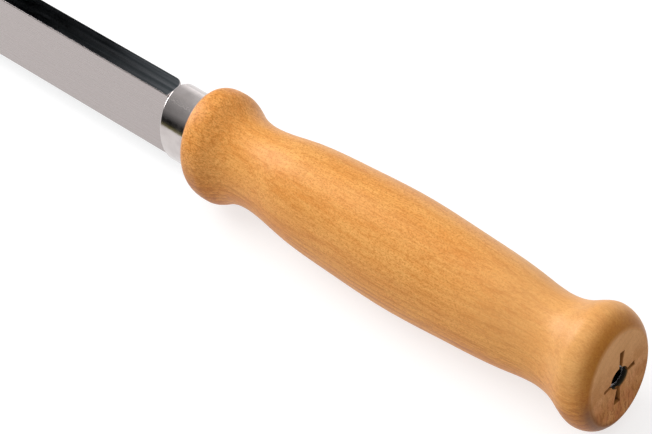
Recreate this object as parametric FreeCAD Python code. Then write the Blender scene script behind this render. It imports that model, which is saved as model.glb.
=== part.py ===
"""Flat, smooth knife sharpening steel with an oval turned wooden handle.

Frame, in mm: the tool lies along X, with the bar's tip at -X and the butt of the handle at +X.
Z runs across the width of the bar and the long axis of the oval handle, and Y runs through the
thickness of the bar. The origin is on the tool's axis, half way along its length.
Lengthwise places are given as stations: the distance from the butt face towards the tip.
"""
import FreeCAD, Part
import math
import os

Vector = FreeCAD.Vector

# Handle. Radii are half-heights along Z, and OVAL is the ratio of the short axis to the long one.
OVAL = 0.75
WOOD_LENGTH = 117.5
POMMEL_R = 16.2
POMMEL_ROUND = 5.6
POMMEL_STATION = 5.3
REAR_NECK_R = 12.15
BELLY_R = 15.4
FRONT_NECK_R = 11.5
BEAD_R = 15.15
BEAD_STATION = 112.4
BEAD_FULLNESS = 2.9
BEAD_STEPS = 8
SHOULDER_R = 11.1

# Ferrule: a shallow oval cap pressed over the tenon at the front of the handle.
FERRULE_HEIGHT = 21.8
FERRULE_WIDTH = 14.5
FERRULE_LENGTH = 9.3
FERRULE_WALL = 0.8
FERRULE_PLATE = 1.0
FERRULE_EDGE_R = 0.35

# Bar, forged in one piece with its tang.
BAR_LENGTH = 250.0
BAR_WIDTH = 20.9
BAR_THICKNESS = 5.8
BAR_EDGE_R = 0.3
TIP_CORNER_R = 6.0
HEEL_R = 2.6

# Tang: a flat taper behind the heel, drawn down to a round tail that runs through the handle.
TAPER_LENGTH = 42.0
TAPER_WIDTH = 11.0
TAPER_THICKNESS = 4.6
TAIL_R = 1.9
TAIL_RECESS = 3.0

# Steel ring sunk in the hole of the butt, round the end of the tail.
RING_R = 2.7
RING_HOLE_R = 2.05
RING_LENGTH = 2.4
RING_RECESS = 1.2

# Marks of the four-pronged lathe centre in the butt: direction in degrees from +Y, reach, end width.
SPUR_MARKS = ((80, 7.1, 1.5), (260, 6.9, 2.2), (5, 5.0, 1.4), (185, 5.0, 0.9))
SPUR_WIDTH = 0.9
SPUR_START_DEPTH = 0.5
SPUR_END_DEPTH = 1.6

# Clearances between fitted pieces.
TENON_CLEARANCE = 0.05
BORE_CLEARANCE = 0.15
RING_CLEARANCE = 0.05

# How far a cut or a joined piece overlaps, and how near two lengths are to count as equal.
OVERSHOOT = 1.0
NEAR = 0.01

TOTAL_LENGTH = WOOD_LENGTH + FERRULE_LENGTH + BAR_LENGTH
HEEL_STATION = WOOD_LENGTH + FERRULE_LENGTH
PLATE_STATION = HEEL_STATION - FERRULE_PLATE


def x_at(station):
    """X of a place that is this far from the butt face."""
    return TOTAL_LENGTH / 2 - station


def point(station, z):
    """A point in the middle plane of the tool."""
    return Vector(x_at(station), 0, z)


def box_between(near, far, width_y, height_z):
    """A box centred on the axis, from the station nearer the butt to the farther one."""
    corner = Vector(x_at(far), -width_y / 2, -height_z / 2)
    return Part.makeBox(far - near, width_y, height_z, corner)


def rod_between(near, far, radius):
    """A round rod on the axis between two stations."""
    return Part.makeCylinder(radius, far - near, point(far, 0), Vector(1, 0, 0))


def oval_between(near, far, width_y, height_z):
    """An elliptical prism on the axis between two stations."""
    centre = point(near, 0)
    ellipse = Part.Ellipse(point(near, height_z / 2), centre + Vector(0, width_y / 2, 0), centre)
    face = Part.Face(Part.Wire(ellipse.toShape()))
    return face.extrude(Vector(near - far, 0, 0))


def smooth_curve(points, start_direction, end_direction):
    """A spline through the points. It runs at unit speed, so unit vectors set its end directions."""
    curve = Part.BSplineCurve()
    curve.interpolate(
        Points=points,
        InitialTangent=start_direction,
        FinalTangent=end_direction,
        Scale=False,
    )
    return curve.toShape()


def bead_front():
    """Points of the bead's front: a quarter of a superellipse, from its crest to the shoulder."""
    power = 2 / BEAD_FULLNESS
    points = []
    for step in range(BEAD_STEPS):
        turn = math.pi / 2 * step / BEAD_STEPS
        reach = math.sin(turn) ** power
        rise = math.cos(turn) ** power
        station = BEAD_STATION + (WOOD_LENGTH - BEAD_STATION) * reach
        points.append(point(station, SHOULDER_R + (BEAD_R - SHOULDER_R) * rise))
    return points + [point(WOOD_LENGTH, SHOULDER_R)]


def handle_outline():
    """The half outline of the handle. It starts just outside the butt face, which is cut later."""
    corner = POMMEL_ROUND * math.sqrt(0.5)
    start_station = POMMEL_STATION - POMMEL_ROUND
    start_r = POMMEL_R - POMMEL_ROUND
    crest = point(POMMEL_STATION, POMMEL_R)
    pommel = Part.Arc(
        point(start_station, start_r),
        point(POMMEL_STATION - corner, start_r + corner),
        crest,
    )
    turned = [
        crest,
        point(8.3, 15.15),
        point(11.4, 13.35),
        point(16.0, REAR_NECK_R),
        point(25.7, 13.1),
        point(41.0, 14.5),
        point(58.5, BELLY_R),
        point(74.0, 14.75),
        point(90.0, 13.25),
        point(101.8, FRONT_NECK_R),
        point(107.8, 13.0),
        point(BEAD_STATION, BEAD_R),
    ]
    forwards = Vector(-1, 0, 0)
    inwards = Vector(0, 0, -1)
    return Part.Wire([
        Part.makeLine(point(start_station, 0), point(start_station, start_r)),
        pommel.toShape(),
        smooth_curve(turned, forwards, forwards),
        smooth_curve(bead_front(), forwards, inwards),
        Part.makeLine(point(WOOD_LENGTH, SHOULDER_R), point(WOOD_LENGTH, 0)),
        Part.makeLine(point(WOOD_LENGTH, 0), point(start_station, 0)),
    ])


def turned_oval():
    """The outline turned about the axis, narrowed to the oval section and cut flat at the butt."""
    turned = Part.Face(handle_outline()).revolve(Vector(0, 0, 0), Vector(1, 0, 0), 360)
    narrowing = FreeCAD.Matrix()
    narrowing.scale(Vector(1, OVAL, 1))
    waste = box_between(-POMMEL_ROUND, 0, 3 * POMMEL_R, 3 * POMMEL_R)
    return turned.transformGeometry(narrowing).cut(waste)


def tang(grow=0.0):
    """The taper and the tail of the tang, or, grown by a clearance, the bore that takes them."""
    taper_end = HEEL_STATION - TAPER_LENGTH - grow
    half_wide = TAPER_WIDTH / 2 + grow
    half_narrow = TAIL_R + grow
    half_thick = TAPER_THICKNESS / 2 + grow
    corners = [
        (HEEL_STATION, half_wide),
        (HEEL_STATION, -half_wide),
        (taper_end, -half_narrow),
        (taper_end, half_narrow),
        (HEEL_STATION, half_wide),
    ]
    side = Part.Face(Part.makePolygon([point(station, z) for station, z in corners]))
    side.translate(Vector(0, -half_thick, 0))
    taper = side.extrude(Vector(0, 2 * half_thick, 0))
    tail = rod_between(TAIL_RECESS, taper_end + 2 * half_narrow, half_narrow)
    return taper.fuse(tail).removeSplitter()


def spur_mark(direction, reach, end_width):
    """The dent of one lathe prong: it grows wider and deeper outwards from the hole in the butt."""
    sections = []
    for radius, width, depth in (
        (RING_HOLE_R, SPUR_WIDTH, SPUR_START_DEPTH),
        (reach, end_width, SPUR_END_DEPTH),
    ):
        half = width / 2
        corners = [(-OVERSHOOT, -half), (-OVERSHOOT, half), (depth, half), (depth, -half)]
        outline = [point(station, radius) + Vector(0, across, 0) for station, across in corners]
        sections.append(Part.makePolygon(outline + outline[:1]))
    dent = Part.makeLoft(sections, True, True)
    dent.rotate(Vector(0, 0, 0), Vector(1, 0, 0), direction - 90)
    return dent


def make_handle():
    """The wooden handle: tenon in front, bore for the tang, seat for the ring, lathe marks."""
    tenon_width = FERRULE_WIDTH - 2 * FERRULE_WALL - 2 * TENON_CLEARANCE
    tenon_height = FERRULE_HEIGHT - 2 * FERRULE_WALL - 2 * TENON_CLEARANCE
    tenon_end = PLATE_STATION - TENON_CLEARANCE
    tenon = oval_between(WOOD_LENGTH - OVERSHOOT, tenon_end, tenon_width, tenon_height)
    ring_seat = rod_between(-OVERSHOOT, RING_RECESS + RING_LENGTH, RING_R + RING_CLEARANCE)
    cuts = [tang(BORE_CLEARANCE), ring_seat]
    cuts += [spur_mark(*mark) for mark in SPUR_MARKS]
    return turned_oval().fuse(tenon).cut(cuts)


def make_ferrule():
    """The ferrule: an oval cap with a slot in its front plate for the tang."""
    shell = oval_between(WOOD_LENGTH, HEEL_STATION, FERRULE_WIDTH, FERRULE_HEIGHT)
    front = [edge for edge in shell.Edges if edge.BoundBox.XMax < x_at(HEEL_STATION) + NEAR]
    shell = shell.makeFillet(FERRULE_EDGE_R, front)
    inside = oval_between(
        WOOD_LENGTH,
        PLATE_STATION,
        FERRULE_WIDTH - 2 * FERRULE_WALL,
        FERRULE_HEIGHT - 2 * FERRULE_WALL,
    )
    return shell.cut([inside, tang(BORE_CLEARANCE)])


def make_bar():
    """The bar with its eased edges, rounded tip, eased heel and the tang behind it."""
    blade = box_between(HEEL_STATION, TOTAL_LENGTH, BAR_THICKNESS, BAR_WIDTH)
    tip_x = x_at(TOTAL_LENGTH)
    heel_x = x_at(HEEL_STATION)
    through = [edge for edge in blade.Edges if edge.BoundBox.YLength > BAR_THICKNESS / 2]
    blade = blade.makeFillet(TIP_CORNER_R, [edge for edge in through if edge.BoundBox.XMax < tip_x + 1])
    heel = [
        edge for edge in blade.Edges
        if edge.BoundBox.XMin > heel_x - NEAR
        and edge.BoundBox.YMin > 0
        and edge.BoundBox.ZLength > BAR_WIDTH / 2
    ]
    blade = blade.makeFillet(HEEL_R, heel)
    outline = [
        edge for edge in blade.Edges
        if abs(abs(edge.BoundBox.Center.y) - BAR_THICKNESS / 2) < NEAR
        and edge.BoundBox.XMax < heel_x + NEAR
        and edge.BoundBox.ZLength < BAR_WIDTH / 2 + TIP_CORNER_R
        and edge.BoundBox.YLength < NEAR
    ]
    blade = blade.makeFillet(BAR_EDGE_R, outline)
    return blade.fuse(tang()).removeSplitter()


def make_ring():
    """The steel ring round the end of the tail."""
    ring_end = RING_RECESS + RING_LENGTH
    return rod_between(RING_RECESS, ring_end, RING_R).cut(rod_between(RING_RECESS, ring_end, RING_HOLE_R))


NODES = {
    "handle": make_handle,
    "ferrule": make_ferrule,
    "sharpening_bar": make_bar,
    "tang_ring": make_ring,
}


def main():
    os.makedirs("parts", exist_ok=True)
    for name, make in NODES.items():
        shape = make()
        shape.exportStep(f"parts/{name}.step")
        print(name, "valid", shape.isValid(), "solids", len(shape.Solids), "mm3", round(shape.Volume, 1))


main()
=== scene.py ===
"""Looks of the flat, smooth sharpening steel: its materials, the floor, the studio light and the camera.

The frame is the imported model's: X runs from the tip of the bar to the butt of the handle, Z runs across
the width of the bar and Y through its thickness. Everything is in metres. Colours are linear.
"""

import math

import bpy
from mathutils import Matrix, Vector


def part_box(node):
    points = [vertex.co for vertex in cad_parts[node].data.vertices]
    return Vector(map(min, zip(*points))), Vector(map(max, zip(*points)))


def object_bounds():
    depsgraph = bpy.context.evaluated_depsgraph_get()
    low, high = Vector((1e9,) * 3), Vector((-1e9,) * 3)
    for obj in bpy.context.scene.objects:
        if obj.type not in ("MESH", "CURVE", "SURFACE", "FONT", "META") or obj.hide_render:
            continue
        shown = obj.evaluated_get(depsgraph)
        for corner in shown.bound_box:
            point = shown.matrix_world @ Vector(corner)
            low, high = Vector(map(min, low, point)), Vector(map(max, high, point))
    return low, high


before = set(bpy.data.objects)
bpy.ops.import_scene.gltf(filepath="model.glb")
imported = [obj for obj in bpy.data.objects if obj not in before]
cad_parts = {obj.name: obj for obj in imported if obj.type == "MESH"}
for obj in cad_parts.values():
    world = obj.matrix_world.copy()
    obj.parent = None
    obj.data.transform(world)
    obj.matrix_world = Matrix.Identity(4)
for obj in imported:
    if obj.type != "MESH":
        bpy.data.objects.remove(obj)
cad_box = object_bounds()


def rgb(red, green, blue):
    return (red, green, blue, 1.0)


MM = 0.001

# Places on the tool: the butt, the heel of the bar at the ferrule's front, the ratio of the oval's axes,
# half the height of the flat butt face, and the radius of the hole in it.
HANDLE_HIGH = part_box("handle")[1]
BUTT_X = HANDLE_HIGH[0]
HEEL_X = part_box("ferrule")[0][0]
OVAL = HANDLE_HIGH[1] / HANDLE_HIGH[2]
BUTT_FACE_R = 12.3 * MM
HOLE_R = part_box("tang_ring")[1][2]

# The growth rings of the wood: their width, how far they wander, and the heart of the tree, which lies
# beside and below the handle and runs at a small slope to it.
RING_WIDTH = 1.7 * MM
RING_WANDER = 3.5 * MM
HEART_Y = 24 * MM
HEART_Z = -36 * MM
HEART_SLOPE = 0.030

# Wood on the turned sides. The tints multiply what is under them.
CLEAR_LIGHT = rgb(0.94, 0.482, 0.160)
CLEAR_DARK = rgb(0.85, 0.372, 0.097)
STREAK = rgb(0.72, 0.255, 0.036)
LATE_RING = rgb(0.60, 0.185, 0.020)
DARK_LINE = rgb(0.50, 0.142, 0.013)
BRIGHT_FIBRE = rgb(1.0, 0.58, 0.20)
SPECKLE = rgb(0.60, 0.185, 0.024)
RAY_FLECK = rgb(0.54, 0.165, 0.020)
PORE = rgb(0.46, 0.134, 0.010)
# Painted sheen: a paler patch on the upper side of the wood near the butt, where a highlight falls.
PAINTED_SHEEN = rgb(0.80, 0.455, 0.21)
# Painted shade: the low side of the turned wood is darker and more saturated.
LOW_SIDE_SHADE = rgb(0.93, 0.76, 0.28)
# Amber end grain, also used as painted shade under the pommel and the bead and on the round that faces the
# butt.
AMBER_AND_SHADE_TINT = rgb(0.55, 0.42, 0.17)

# Bare wood on the butt face, paler on top as painted light and darker low down as painted shade; painted
# shade at its rim, in the lathe marks and in the hole.
END_LIGHT = rgb(0.70, 0.355, 0.155)
END_DARK = rgb(0.56, 0.255, 0.090)
END_PIT = rgb(0.40, 0.175, 0.062)
# Painted light: the top of the butt face is paler.
END_TOP_LIGHT = rgb(0.76, 0.410, 0.180)
TORN_FIBRE = rgb(0.52, 0.190, 0.085)
CRACK = rgb(0.30, 0.105, 0.025)
END_RING = rgb(0.30, 0.110, 0.030)
# Painted shade: the low part of the butt face is darker.
LOW_END_SHADE = rgb(0.90, 0.80, 0.62)
# Painted shade at the crease round the low front of the butt face.
RIM_SHADE_COLOUR = rgb(0.20, 0.080, 0.028)
# Painted shade in the lathe marks, darker with depth.
MARK_SHADE_EDGE = rgb(0.42, 0.185, 0.050)
MARK_SHADE_DEEP = rgb(0.090, 0.030, 0.007)
# Painted shade in the hole, near black deeper in.
HOLE_SHADE_EDGE = rgb(0.110, 0.085, 0.042)
HOLE_SHADE_DEEP = rgb(0.012, 0.010, 0.007)

# Metals: the bar's wide faces, its narrow edges and its tang, the ferrule's plate and the tang ring. The
# narrow edges are coloured as a painted dark reflection; the tang and the ring away from its front are
# black partly as painted shade in the hole.
STEEL_DARK = rgb(0.378, 0.335, 0.327)
STEEL_LIGHT = rgb(0.405, 0.361, 0.353)
STEEL_CLOUD = rgb(0.384, 0.342, 0.334)
# Painted dark reflection on the narrow edges, with lighter streaks.
EDGE_REFLECTION_DARK = rgb(0.066, 0.077, 0.085)
EDGE_REFLECTION_LIGHT = rgb(0.148, 0.156, 0.168)
# Black tang: forge scale, and painted shade where its end shows in the hole.
TANG_SCALE_AND_SHADE = rgb(0.004, 0.004, 0.005)
NICKEL_LIGHT = rgb(0.545, 0.500, 0.490)
NICKEL_DARK = rgb(0.495, 0.450, 0.440)
RING_LIGHT = rgb(0.62, 0.60, 0.62)
RING_DARK = rgb(0.44, 0.41, 0.42)
# Painted shade: the ring is black away from its front edge.
RING_SHADE = rgb(0.006, 0.005, 0.004)

# The floor lies just under the tool and ends this far in front of its axis. The ferrule mirrors that edge.
# It glows so that shadows on it stay faint, and less for diffuse rays, which would light the wood.
FLOOR_Z = cad_box[0][2] - 0.2 * MM
FLOOR_FRONT = 57 * MM
FLOOR_REACH = 6
FLOOR_DARK = rgb(0.37, 0.37, 0.37)
FLOOR_LIGHT = rgb(0.39, 0.39, 0.39)
FLOOR_GLOW = 0.70
FLOOR_GLOW_KEPT_BACK = 0.45

# The world's strength for diffuse rays and for the camera, and its colours.
FILL = 0.43
BACKDROP = 1.1
WHITE = rgb(1.0, 1.0, 1.0)
OLIVE = rgb(0.84, 0.76, 0.16)

# Camera: a long lens, looking down on the tool from behind the butt.
LENS_MM = 144.1
SENSOR_MM = 36
NEAREST = 10 * MM
AZIMUTH = math.radians(48.51)
ELEVATION = math.radians(44.98)
ROLL = math.radians(8.16)
CAMERA = Vector((BUTT_X + 223.9 * MM, -270.83 * MM, 404.76 * MM))


def link(obj):
    bpy.context.scene.collection.objects.link(obj)
    return obj


class Tree:
    """A node tree, with one short call for each kind of node. A value is a number, a colour or a socket."""

    def __init__(self, tree):
        self.tree = tree
        self.place = tree.nodes.new("ShaderNodeTexCoord")

    def add(self, kind, inputs=None, **settings):
        node = self.tree.nodes.new("ShaderNode" + kind)
        for key, value in settings.items():
            setattr(node, key, value)
        for key, value in (inputs or {}).items():
            self.feed(node.inputs[key], value)
        return node

    def feed(self, socket, value):
        if isinstance(value, bpy.types.NodeSocket):
            self.tree.links.new(value, socket)
        else:
            socket.default_value = value

    def axes(self, kind):
        """The X, Y and Z parts of a texture coordinate: Object, Normal or Generated."""
        return self.add("SeparateXYZ", {0: self.place.outputs[kind]}).outputs

    def math(self, operation, a, b=0.0):
        return self.add("Math", {0: a, 1: b}, operation=operation).outputs[0]

    def product(self, first, *others):
        for value in others:
            first = self.math("MULTIPLY", first, value)
        return first

    def total(self, first, *others):
        for value in others:
            first = self.math("ADD", first, value)
        return first

    def length_of(self, first, second):
        """The length of a vector with these two parts."""
        return self.math("SQRT", self.total(self.product(first, first), self.product(second, second)))

    def band(self, value, low, high, to_low=0.0, to_high=1.0, curve="SMOOTHSTEP"):
        """Maps low..high to to_low..to_high along this curve, and holds it outside."""
        inputs = {"Value": value, 1: low, 2: high, 3: to_low, 4: to_high}
        return self.add("MapRange", inputs, interpolation_type=curve).outputs["Result"]

    def ramp(self, value, low, high, to_low=0.0, to_high=1.0):
        """A band with straight sides."""
        return self.band(value, low, high, to_low, to_high, curve="LINEAR")

    def mix(self, factor, a, b, blend="MIX"):
        node = self.add("Mix", data_type="RGBA", blend_type=blend)
        self.feed(node.inputs[0], factor)
        self.feed(node.inputs[6], a)
        self.feed(node.inputs[7], b)
        return node.outputs[2]


class Material(Tree):
    """A new material with its shader. Its patterns are sized in mm along X, Y and Z."""

    def __init__(self, name):
        self.material = bpy.data.materials.new(name)
        self.material.use_nodes = True
        super().__init__(self.material.node_tree)
        self.shader = self.tree.nodes["Principled BSDF"]

    def noise(self, size_mm, detail=2.0, roughness=0.5, distortion=0.0):
        scale = tuple(1 / (MM * size) for size in size_mm)
        mapping = self.add("Mapping", {"Vector": self.place.outputs["Object"], "Scale": scale})
        inputs = {
            "Vector": mapping.outputs["Vector"],
            "Scale": 1.0,
            "Detail": detail,
            "Roughness": roughness,
            "Distortion": distortion,
        }
        return self.add("TexNoise", inputs).outputs["Fac"]

    def patches(self, size_mm, start, full, share=1.0, **settings):
        """Noise that is 0 below start and rises smoothly to this share at full."""
        return self.band(self.noise(size_mm, **settings), start, full, 0.0, share)

    def bump(self, height, distance_mm, strength):
        inputs = {"Height": height, "Distance": distance_mm * MM, "Strength": strength}
        return self.add("Bump", inputs).outputs["Normal"]

    def shade(self, **inputs):
        for key, value in inputs.items():
            self.feed(self.shader.inputs[key.replace("_", " ")], value)
        return self.material


def growth_rings(n, along, across, height, wander):
    """Where each point lies between one growth ring, 0, and the next, 1."""
    off_y = n.math("SUBTRACT", across, HEART_Y)
    off_z = n.total(n.math("SUBTRACT", height, HEART_Z), n.product(along, HEART_SLOPE))
    radius = n.total(n.length_of(off_y, off_z), n.product(wander, RING_WANDER))
    return n.math("FRACT", n.math("DIVIDE", radius, RING_WIDTH))


def broad_grain(n, rings, low_side):
    """Cloudy clear wood with streaks. Growth rings and long dark lines are stronger on the low side."""
    late_wood = n.product(n.band(rings, 0.35, 0.92), n.band(rings, 0.93, 1.0, 1.0, 0.0))
    lines = n.patches((60, 0.75, 0.75), 0.51, 0.58, detail=3, roughness=0.65)
    colour = n.mix(n.patches((30, 8, 8), 0.3, 0.7, detail=3), CLEAR_DARK, CLEAR_LIGHT)
    colour = n.mix(n.patches((50, 2.2, 2.2), 0.44, 0.66, 0.25, detail=3), colour, STREAK)
    colour = n.mix(n.product(late_wood, low_side, 0.75), colour, LATE_RING)
    return n.mix(n.product(lines, low_side, 0.85), colour, DARK_LINE)


def fine_grain(n, colour, along, flecks):
    """Speckle, calmer near the butt, ray flecks, and pores that show most on the bead."""
    calm_end = n.band(along, BUTT_X - 40 * MM, BUTT_X - 20 * MM, 0.62, 0.34)
    speckle = n.patches((0.50, 0.32, 0.32), 0.44, 0.66, roughness=0.75)
    colour = n.mix(n.product(speckle, calm_end), colour, SPECKLE)
    colour = n.mix(n.product(flecks, 0.28), colour, RAY_FLECK)
    on_bead = n.band(along, HEEL_X + 14 * MM, HEEL_X + 26 * MM, 0.60, 0.14)
    pores = n.patches((0.9, 0.46, 0.46), 0.49, 0.60, detail=3, roughness=0.8)
    return n.mix(n.product(pores, on_bead), colour, PORE)


def side_grain(n, along, across, height):
    """Beech on the turned sides, with a painted sheen on top near the butt and painted shade on the low
    side. Gives its colour, its relief, its fibre and its growth rings.
    """
    wander = n.noise((160, 22, 22), detail=3)
    rings = growth_rings(n, along, across, height, wander)
    low_side = n.band(n.total(height, n.product(wander, 6 * MM)), -8 * MM, 9 * MM, 1.0, 0.25)
    fibre = n.noise((7.0, 0.48, 0.48), detail=4, roughness=0.75)
    flecks = n.patches((1.2, 0.28, 0.28), 0.55, 0.72, detail=1)

    colour = broad_grain(n, rings, low_side)
    colour = n.mix(n.band(fibre, 0.38, 0.70, 0.0, 0.55), colour, BRIGHT_FIBRE)
    colour = fine_grain(n, colour, along, flecks)
    # Painted sheen: paler on the upper side near the butt.
    sheen_near_butt = n.band(along, BUTT_X - 48 * MM, BUTT_X - 18 * MM, 0.0, 0.38)
    colour = n.mix(n.product(sheen_near_butt, n.band(height, -3 * MM, 8 * MM)), colour, PAINTED_SHEEN)
    # Painted shade: the low side is multiplied darker.
    colour = n.mix(n.product(low_side, 0.9), colour, LOW_SIDE_SHADE, blend="MULTIPLY")
    relief = n.total(n.product(flecks, -0.6), n.product(fibre, 0.35))
    return colour, relief, fibre, rings


def amber_ends_and_shade(n, colour, along, height):
    """Amber end grain where the lacquer sank in, on both rounds; the same tint is painted shade on the
    round that faces the butt, away from the light, and under the pommel and the bead.
    """
    facing = n.axes("Normal")[0]
    amber_and_shaded = n.mix(1.0, colour, AMBER_AND_SHADE_TINT, blend="MULTIPLY")
    round_end = n.product(n.band(facing, 0.12, 0.85), n.band(along, BUTT_X - 6 * MM, BUTT_X - 3 * MM))
    colour = n.mix(round_end, colour, amber_and_shaded)
    front_end = n.band(n.product(facing, -1.0), 0.30, 1.0, 0.0, 0.75)
    colour = n.mix(front_end, colour, amber_and_shaded)
    pommel = n.band(along, BUTT_X - 14 * MM, BUTT_X - 5 * MM)
    bead = n.band(along, HEEL_X + 13 * MM, HEEL_X + 22 * MM, 1.0, 0.0)
    # Painted shade under the pommel and the bead.
    shade_under_pommel = n.product(pommel, n.band(height, -11 * MM, 4 * MM, 0.75, 0.0))
    shade_under_bead = n.product(bead, n.band(height, -9 * MM, 9 * MM, 0.60, 0.0))
    return n.mix(n.total(shade_under_pommel, shade_under_bead), colour, amber_and_shaded)


def bare_end(n, rings, height):
    """The sawn end grain of the butt face, with torn fibres and cracks low down; paler on top as painted
    light and darker low down as painted shade.
    """
    low_end = n.band(height, -9 * MM, 2 * MM, 1.0, 0.1)
    cracks = n.patches((6, 0.5, 2.2), 0.48, 0.62, detail=4, roughness=0.7, distortion=0.6)
    torn = n.patches((6, 1.6, 3.0), 0.44, 0.60, 0.55, detail=3)
    colour = n.mix(n.patches((6, 3.4, 3.4), 0.32, 0.68, detail=3), END_LIGHT, END_DARK)
    colour = n.mix(n.patches((0.9, 0.30, 0.30), 0.38, 0.70, 0.45), colour, END_PIT)
    colour = n.mix(n.band(height, 0.0, 9 * MM, 0.0, 0.6), colour, END_TOP_LIGHT)
    colour = n.mix(n.product(torn, low_end), colour, TORN_FIBRE)
    colour = n.mix(n.product(cracks, low_end, 0.75), colour, CRACK)
    colour = n.mix(n.product(low_end, 0.9), colour, LOW_END_SHADE, blend="MULTIPLY")
    return n.mix(n.band(rings, 0.72, 1.0, 0.0, 0.12), colour, END_RING)


def painted_rim_shade(n, along, across, height, oval):
    """Painted shade: the dark arc round the low front side of the butt face, at the crease with the round.
    """
    outward = n.band(oval, BUTT_FACE_R - 1.2 * MM, BUTT_FACE_R + 0.6 * MM)
    inward = n.band(oval, BUTT_FACE_R + 1.0 * MM, BUTT_FACE_R + 3.4 * MM, 1.0, 0.0)
    at_butt = n.band(along, BUTT_X - 4 * MM, BUTT_X - 2 * MM)
    low = n.band(height, -5 * MM, 4 * MM, 0.85, 0.0)
    in_front = n.band(across, -4 * MM, 4 * MM, 1.0, 0.0)
    return n.product(outward, inward, at_butt, low, in_front)


def sunk_marks(n, colour, flat, along, across, height):
    """Painted shade in the lathe marks and the hole, darker the deeper they go below the butt face."""
    depth = n.math("SUBTRACT", BUTT_X, along)
    sunk = n.product(flat, n.band(depth, 0.05 * MM, 0.30 * MM))
    mark = n.mix(n.band(depth, 0.3 * MM, 1.5 * MM), MARK_SHADE_EDGE, MARK_SHADE_DEEP)
    hole_shade = n.mix(n.band(depth, 0.1 * MM, 0.8 * MM), HOLE_SHADE_EDGE, HOLE_SHADE_DEEP)
    hole = n.band(n.length_of(across, height), HOLE_R + 0.1 * MM, HOLE_R + 0.3 * MM, 1.0, 0.0)
    return n.mix(sunk, colour, n.mix(hole, mark, hole_shade))


def wood():
    """Lacquered beech: turned sides, amber end grain on the rounds and a bare butt face, with painted sheen
    and painted shade in its colour.
    """
    n = Material("lacquered_beech")
    along, across, height = n.axes("Object")
    oval = n.length_of(n.math("DIVIDE", across, OVAL), height)
    colour, relief, fibre, rings = side_grain(n, along, across, height)
    colour = amber_ends_and_shade(n, colour, along, height)

    in_face = n.band(oval, BUTT_FACE_R - 0.3 * MM, BUTT_FACE_R + 1.0 * MM, 1.0, 0.0)
    flat = n.product(in_face, n.band(along, BUTT_X - 6 * MM, BUTT_X - 5 * MM))
    colour = n.mix(flat, colour, bare_end(n, rings, height))
    colour = n.mix(painted_rim_shade(n, along, across, height, oval), colour, RIM_SHADE_COLOUR)
    colour = sunk_marks(n, colour, flat, along, across, height)
    return n.shade(
        Base_Color=colour,
        Roughness=n.band(n.total(n.product(fibre, 0.5), flat), 0.2, 1.2, 0.38, 0.85),
        Normal=n.bump(relief, 0.03, 0.45),
        Coat_Weight=0.04,
        Coat_Roughness=0.30,
        Specular_IOR_Level=0.12,
    )


def bar_steel():
    """Satin steel ground lengthwise, polished on the narrow edges and coloured dark there as a painted dark
    reflection, with a black tang: forge scale and painted shade in the hole.
    """
    n = Material("satin_ground_steel")
    lines = n.noise((60, 0.11, 0.11), detail=3, roughness=0.7)
    scuff = n.noise((14, 2.2, 2.2), detail=3)
    strokes = n.patches((55, 0.6, 0.6), 0.38, 0.66, detail=3, roughness=0.7)
    edge = n.band(n.math("ABSOLUTE", n.axes("Normal")[2]), 0.75, 0.98)
    tang = n.band(n.axes("Object")[0], HEEL_X + 4 * MM, HEEL_X + 8 * MM)

    colour = n.mix(n.band(lines, 0.3, 0.7), STEEL_DARK, STEEL_LIGHT)
    colour = n.mix(n.patches((45, 12, 12), 0.35, 0.65, 0.35), colour, STEEL_CLOUD)
    # Painted dark reflection on the narrow edges.
    colour = n.mix(edge, colour, n.mix(strokes, EDGE_REFLECTION_DARK, EDGE_REFLECTION_LIGHT))
    colour = n.mix(tang, colour, TANG_SCALE_AND_SHADE)
    wear = n.total(n.product(lines, 0.6), n.product(scuff, 0.4))
    rough = n.math("SUBTRACT", n.band(wear, 0.3, 0.7, 0.22, 0.32), n.product(edge, 0.17))
    return n.shade(
        Base_Color=colour,
        Metallic=1.0,
        Roughness=n.total(rough, n.product(tang, 0.5)),
        Normal=n.bump(lines, 0.004, 0.35),
    )


def nickel():
    """Polished nickel plate with faint drawing lines round the ferrule and a few soft spots."""
    n = Material("polished_nickel")
    lines = n.noise((0.12, 30, 30))
    spots = n.noise((3, 3, 3), detail=4)
    wear = n.total(n.product(lines, 0.4), n.product(spots, 0.6))
    return n.shade(
        Base_Color=n.mix(n.band(spots, 0.35, 0.7), NICKEL_LIGHT, NICKEL_DARK),
        Metallic=1.0,
        Roughness=n.band(wear, 0.3, 0.7, 0.09, 0.17),
        Normal=n.bump(lines, 0.003, 0.3),
    )


def ring_steel():
    """Plain steel ring: a dull bright front edge, black elsewhere as painted shade inside the hole."""
    n = Material("ring_steel_shaded_inside")
    stain = n.noise((0.7, 0.7, 0.7), detail=4)
    front = n.band(n.axes("Normal")[0], 0.3, 0.8)
    steel = n.mix(n.band(stain, 0.4, 0.6), RING_LIGHT, RING_DARK)
    return n.shade(
        Base_Color=n.mix(front, RING_SHADE, steel),
        Metallic=1.0,
        Roughness=n.band(stain, 0.3, 0.7, 0.25, 0.45),
        Normal=n.bump(stain, 0.02, 0.5),
    )


def floor_material():
    """A pale table that glows a little."""
    n = Material("pale_floor")
    bounced = n.add("LightPath").outputs["Is Diffuse Ray"]
    return n.shade(
        Base_Color=n.mix(n.noise((40, 40, 40), detail=3), FLOOR_DARK, FLOOR_LIGHT),
        Roughness=0.7,
        Specular_IOR_Level=0.1,
        Emission_Color=WHITE,
        Emission_Strength=n.math("SUBTRACT", FLOOR_GLOW, n.product(bounced, FLOOR_GLOW_KEPT_BACK)),
    )


def dress(node, material):
    """Puts a material in every slot of a CAD node."""
    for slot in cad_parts[node].material_slots:
        slot.material = material


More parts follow.
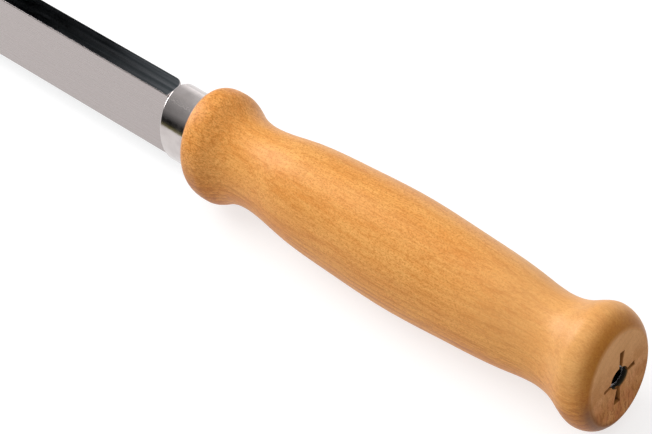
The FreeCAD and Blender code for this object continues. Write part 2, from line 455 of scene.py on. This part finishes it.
def add_floor():
    """A flat floor that ends in front of the tool and is wide in every other direction."""
    mesh = bpy.data.meshes.new("floor")
    corners = [
        (-FLOOR_REACH, -FLOOR_FRONT, FLOOR_Z),
        (FLOOR_REACH, -FLOOR_FRONT, FLOOR_Z),
        (FLOOR_REACH, FLOOR_REACH, FLOOR_Z),
        (-FLOOR_REACH, FLOOR_REACH, FLOOR_Z),
    ]
    mesh.from_pydata(corners, [], [(0, 1, 2, 3)])
    mesh.materials.append(floor_material())
    link(bpy.data.objects.new("floor", mesh))


def room(n, x, y, z):
    """How bright the room is in reflections. It is black in one band of directions towards the tip."""
    before_band = n.ramp(x, -0.614, -0.577, 0.0, 1.2)
    past_band = n.ramp(x, -0.85, -0.72, 1.0, 0.0)
    front = n.ramp(y, -0.75, 0.10, 0.42, 0.95)
    near_wall = n.ramp(y, -1.0, -0.86, 0.55, 0.0)
    behind = n.product(n.ramp(y, 0.35, 0.55), n.ramp(z, 0.05, 0.55, 0.85, 0.0))
    right_side = n.ramp(x, -0.1, 0.6, 0.0, 0.4)
    return n.product(n.total(before_band, past_band), n.total(front, behind, near_wall, right_side))


def doorway(n, x, y, z):
    """A narrow doorway low in the room: how dark it is, and how olive its foot. The ferrule mirrors it."""
    across = n.product(n.ramp(x, -0.66, -0.63), n.ramp(x, -0.54, -0.51, 1.0, 0.0))
    opening = n.product(across, n.ramp(y, -0.65, -0.55, 1.0, 0.0))
    dark = n.product(n.ramp(z, -0.33, -0.17, 0.15, 1.0), n.ramp(z, -0.07, 0.25, 1.0, 0.0))
    foot = n.ramp(z, -0.24, -0.06, 1.0, 0.0)
    return n.product(opening, dark), n.product(opening, foot)


def add_world():
    """A white backdrop for the camera, an even light for the wood and a room for the metal to mirror."""
    world = bpy.data.worlds.new("studio")
    world.use_nodes = True
    bpy.context.scene.world = world
    n = Tree(world.node_tree)
    x, y, z = n.axes("Generated")
    dark, olive = doorway(n, x, y, z)
    mirrored = n.product(room(n, x, y, z), n.math("SUBTRACT", 1.0, dark))
    rays = n.add("LightPath").outputs
    strength = n.total(
        n.product(rays["Is Diffuse Ray"], FILL),
        n.product(rays["Is Camera Ray"], BACKDROP),
        n.product(rays["Is Glossy Ray"], mirrored),
    )
    background = n.tree.nodes["Background"]
    n.feed(background.inputs["Color"], n.mix(olive, WHITE, OLIVE))
    n.feed(background.inputs["Strength"], strength)


def add_lamp(name, target, offset, size, watts, gloss_only=False):
    """A soft square lamp that faces its target. It either shows in reflections or lights, not both."""
    data = bpy.data.lights.new(name, "AREA")
    data.shape = "SQUARE"
    data.size = size
    data.energy = watts
    light = link(bpy.data.objects.new(name, data))
    turn = (-Vector(offset)).to_track_quat("-Z", "Y")
    light.matrix_world = Matrix.Translation(target + Vector(offset)) @ turn.to_matrix().to_4x4()
    light.visible_glossy = gloss_only
    light.visible_diffuse = not gloss_only


def add_lamps():
    middle = Vector((BUTT_X - 80 * MM, 0, 0))
    pommel = Vector((BUTT_X - 10 * MM, 0, 0))
    add_lamp("key", middle, offset=(-0.9, -0.35, 0.95), size=1.0, watts=15)
    add_lamp("top", middle, offset=(0.1, 0.1, 1.3), size=1.6, watts=4)
    add_lamp("sheen", pommel, offset=(-0.92, -0.18, 0.33), size=0.6, watts=8, gloss_only=True)


def add_camera():
    """The camera stands at CAMERA and looks along AZIMUTH and down by ELEVATION, turned by ROLL."""
    ahead = Vector((
        -math.sin(AZIMUTH) * math.cos(ELEVATION),
        math.cos(AZIMUTH) * math.cos(ELEVATION),
        -math.sin(ELEVATION),
    ))
    level = ahead.cross(Vector((0, 0, 1))).normalized()
    right = Matrix.Rotation(ROLL, 3, ahead) @ level
    up = right.cross(ahead)
    turn = Matrix((right, up, -ahead)).transposed().to_4x4()
    data = bpy.data.cameras.new("camera")
    data.lens = LENS_MM
    data.sensor_width = SENSOR_MM
    data.clip_start = NEAREST
    camera = link(bpy.data.objects.new("camera", data))
    camera.matrix_world = Matrix.Translation(CAMERA) @ turn
    bpy.context.scene.camera = camera


def main():
    bpy.context.scene.view_settings.view_transform = "Standard"
    dress("handle", wood())
    dress("sharpening_bar", bar_steel())
    dress("ferrule", nickel())
    dress("tang_ring", ring_steel())
    add_floor()
    add_world()
    add_lamps()
    add_camera()


main()
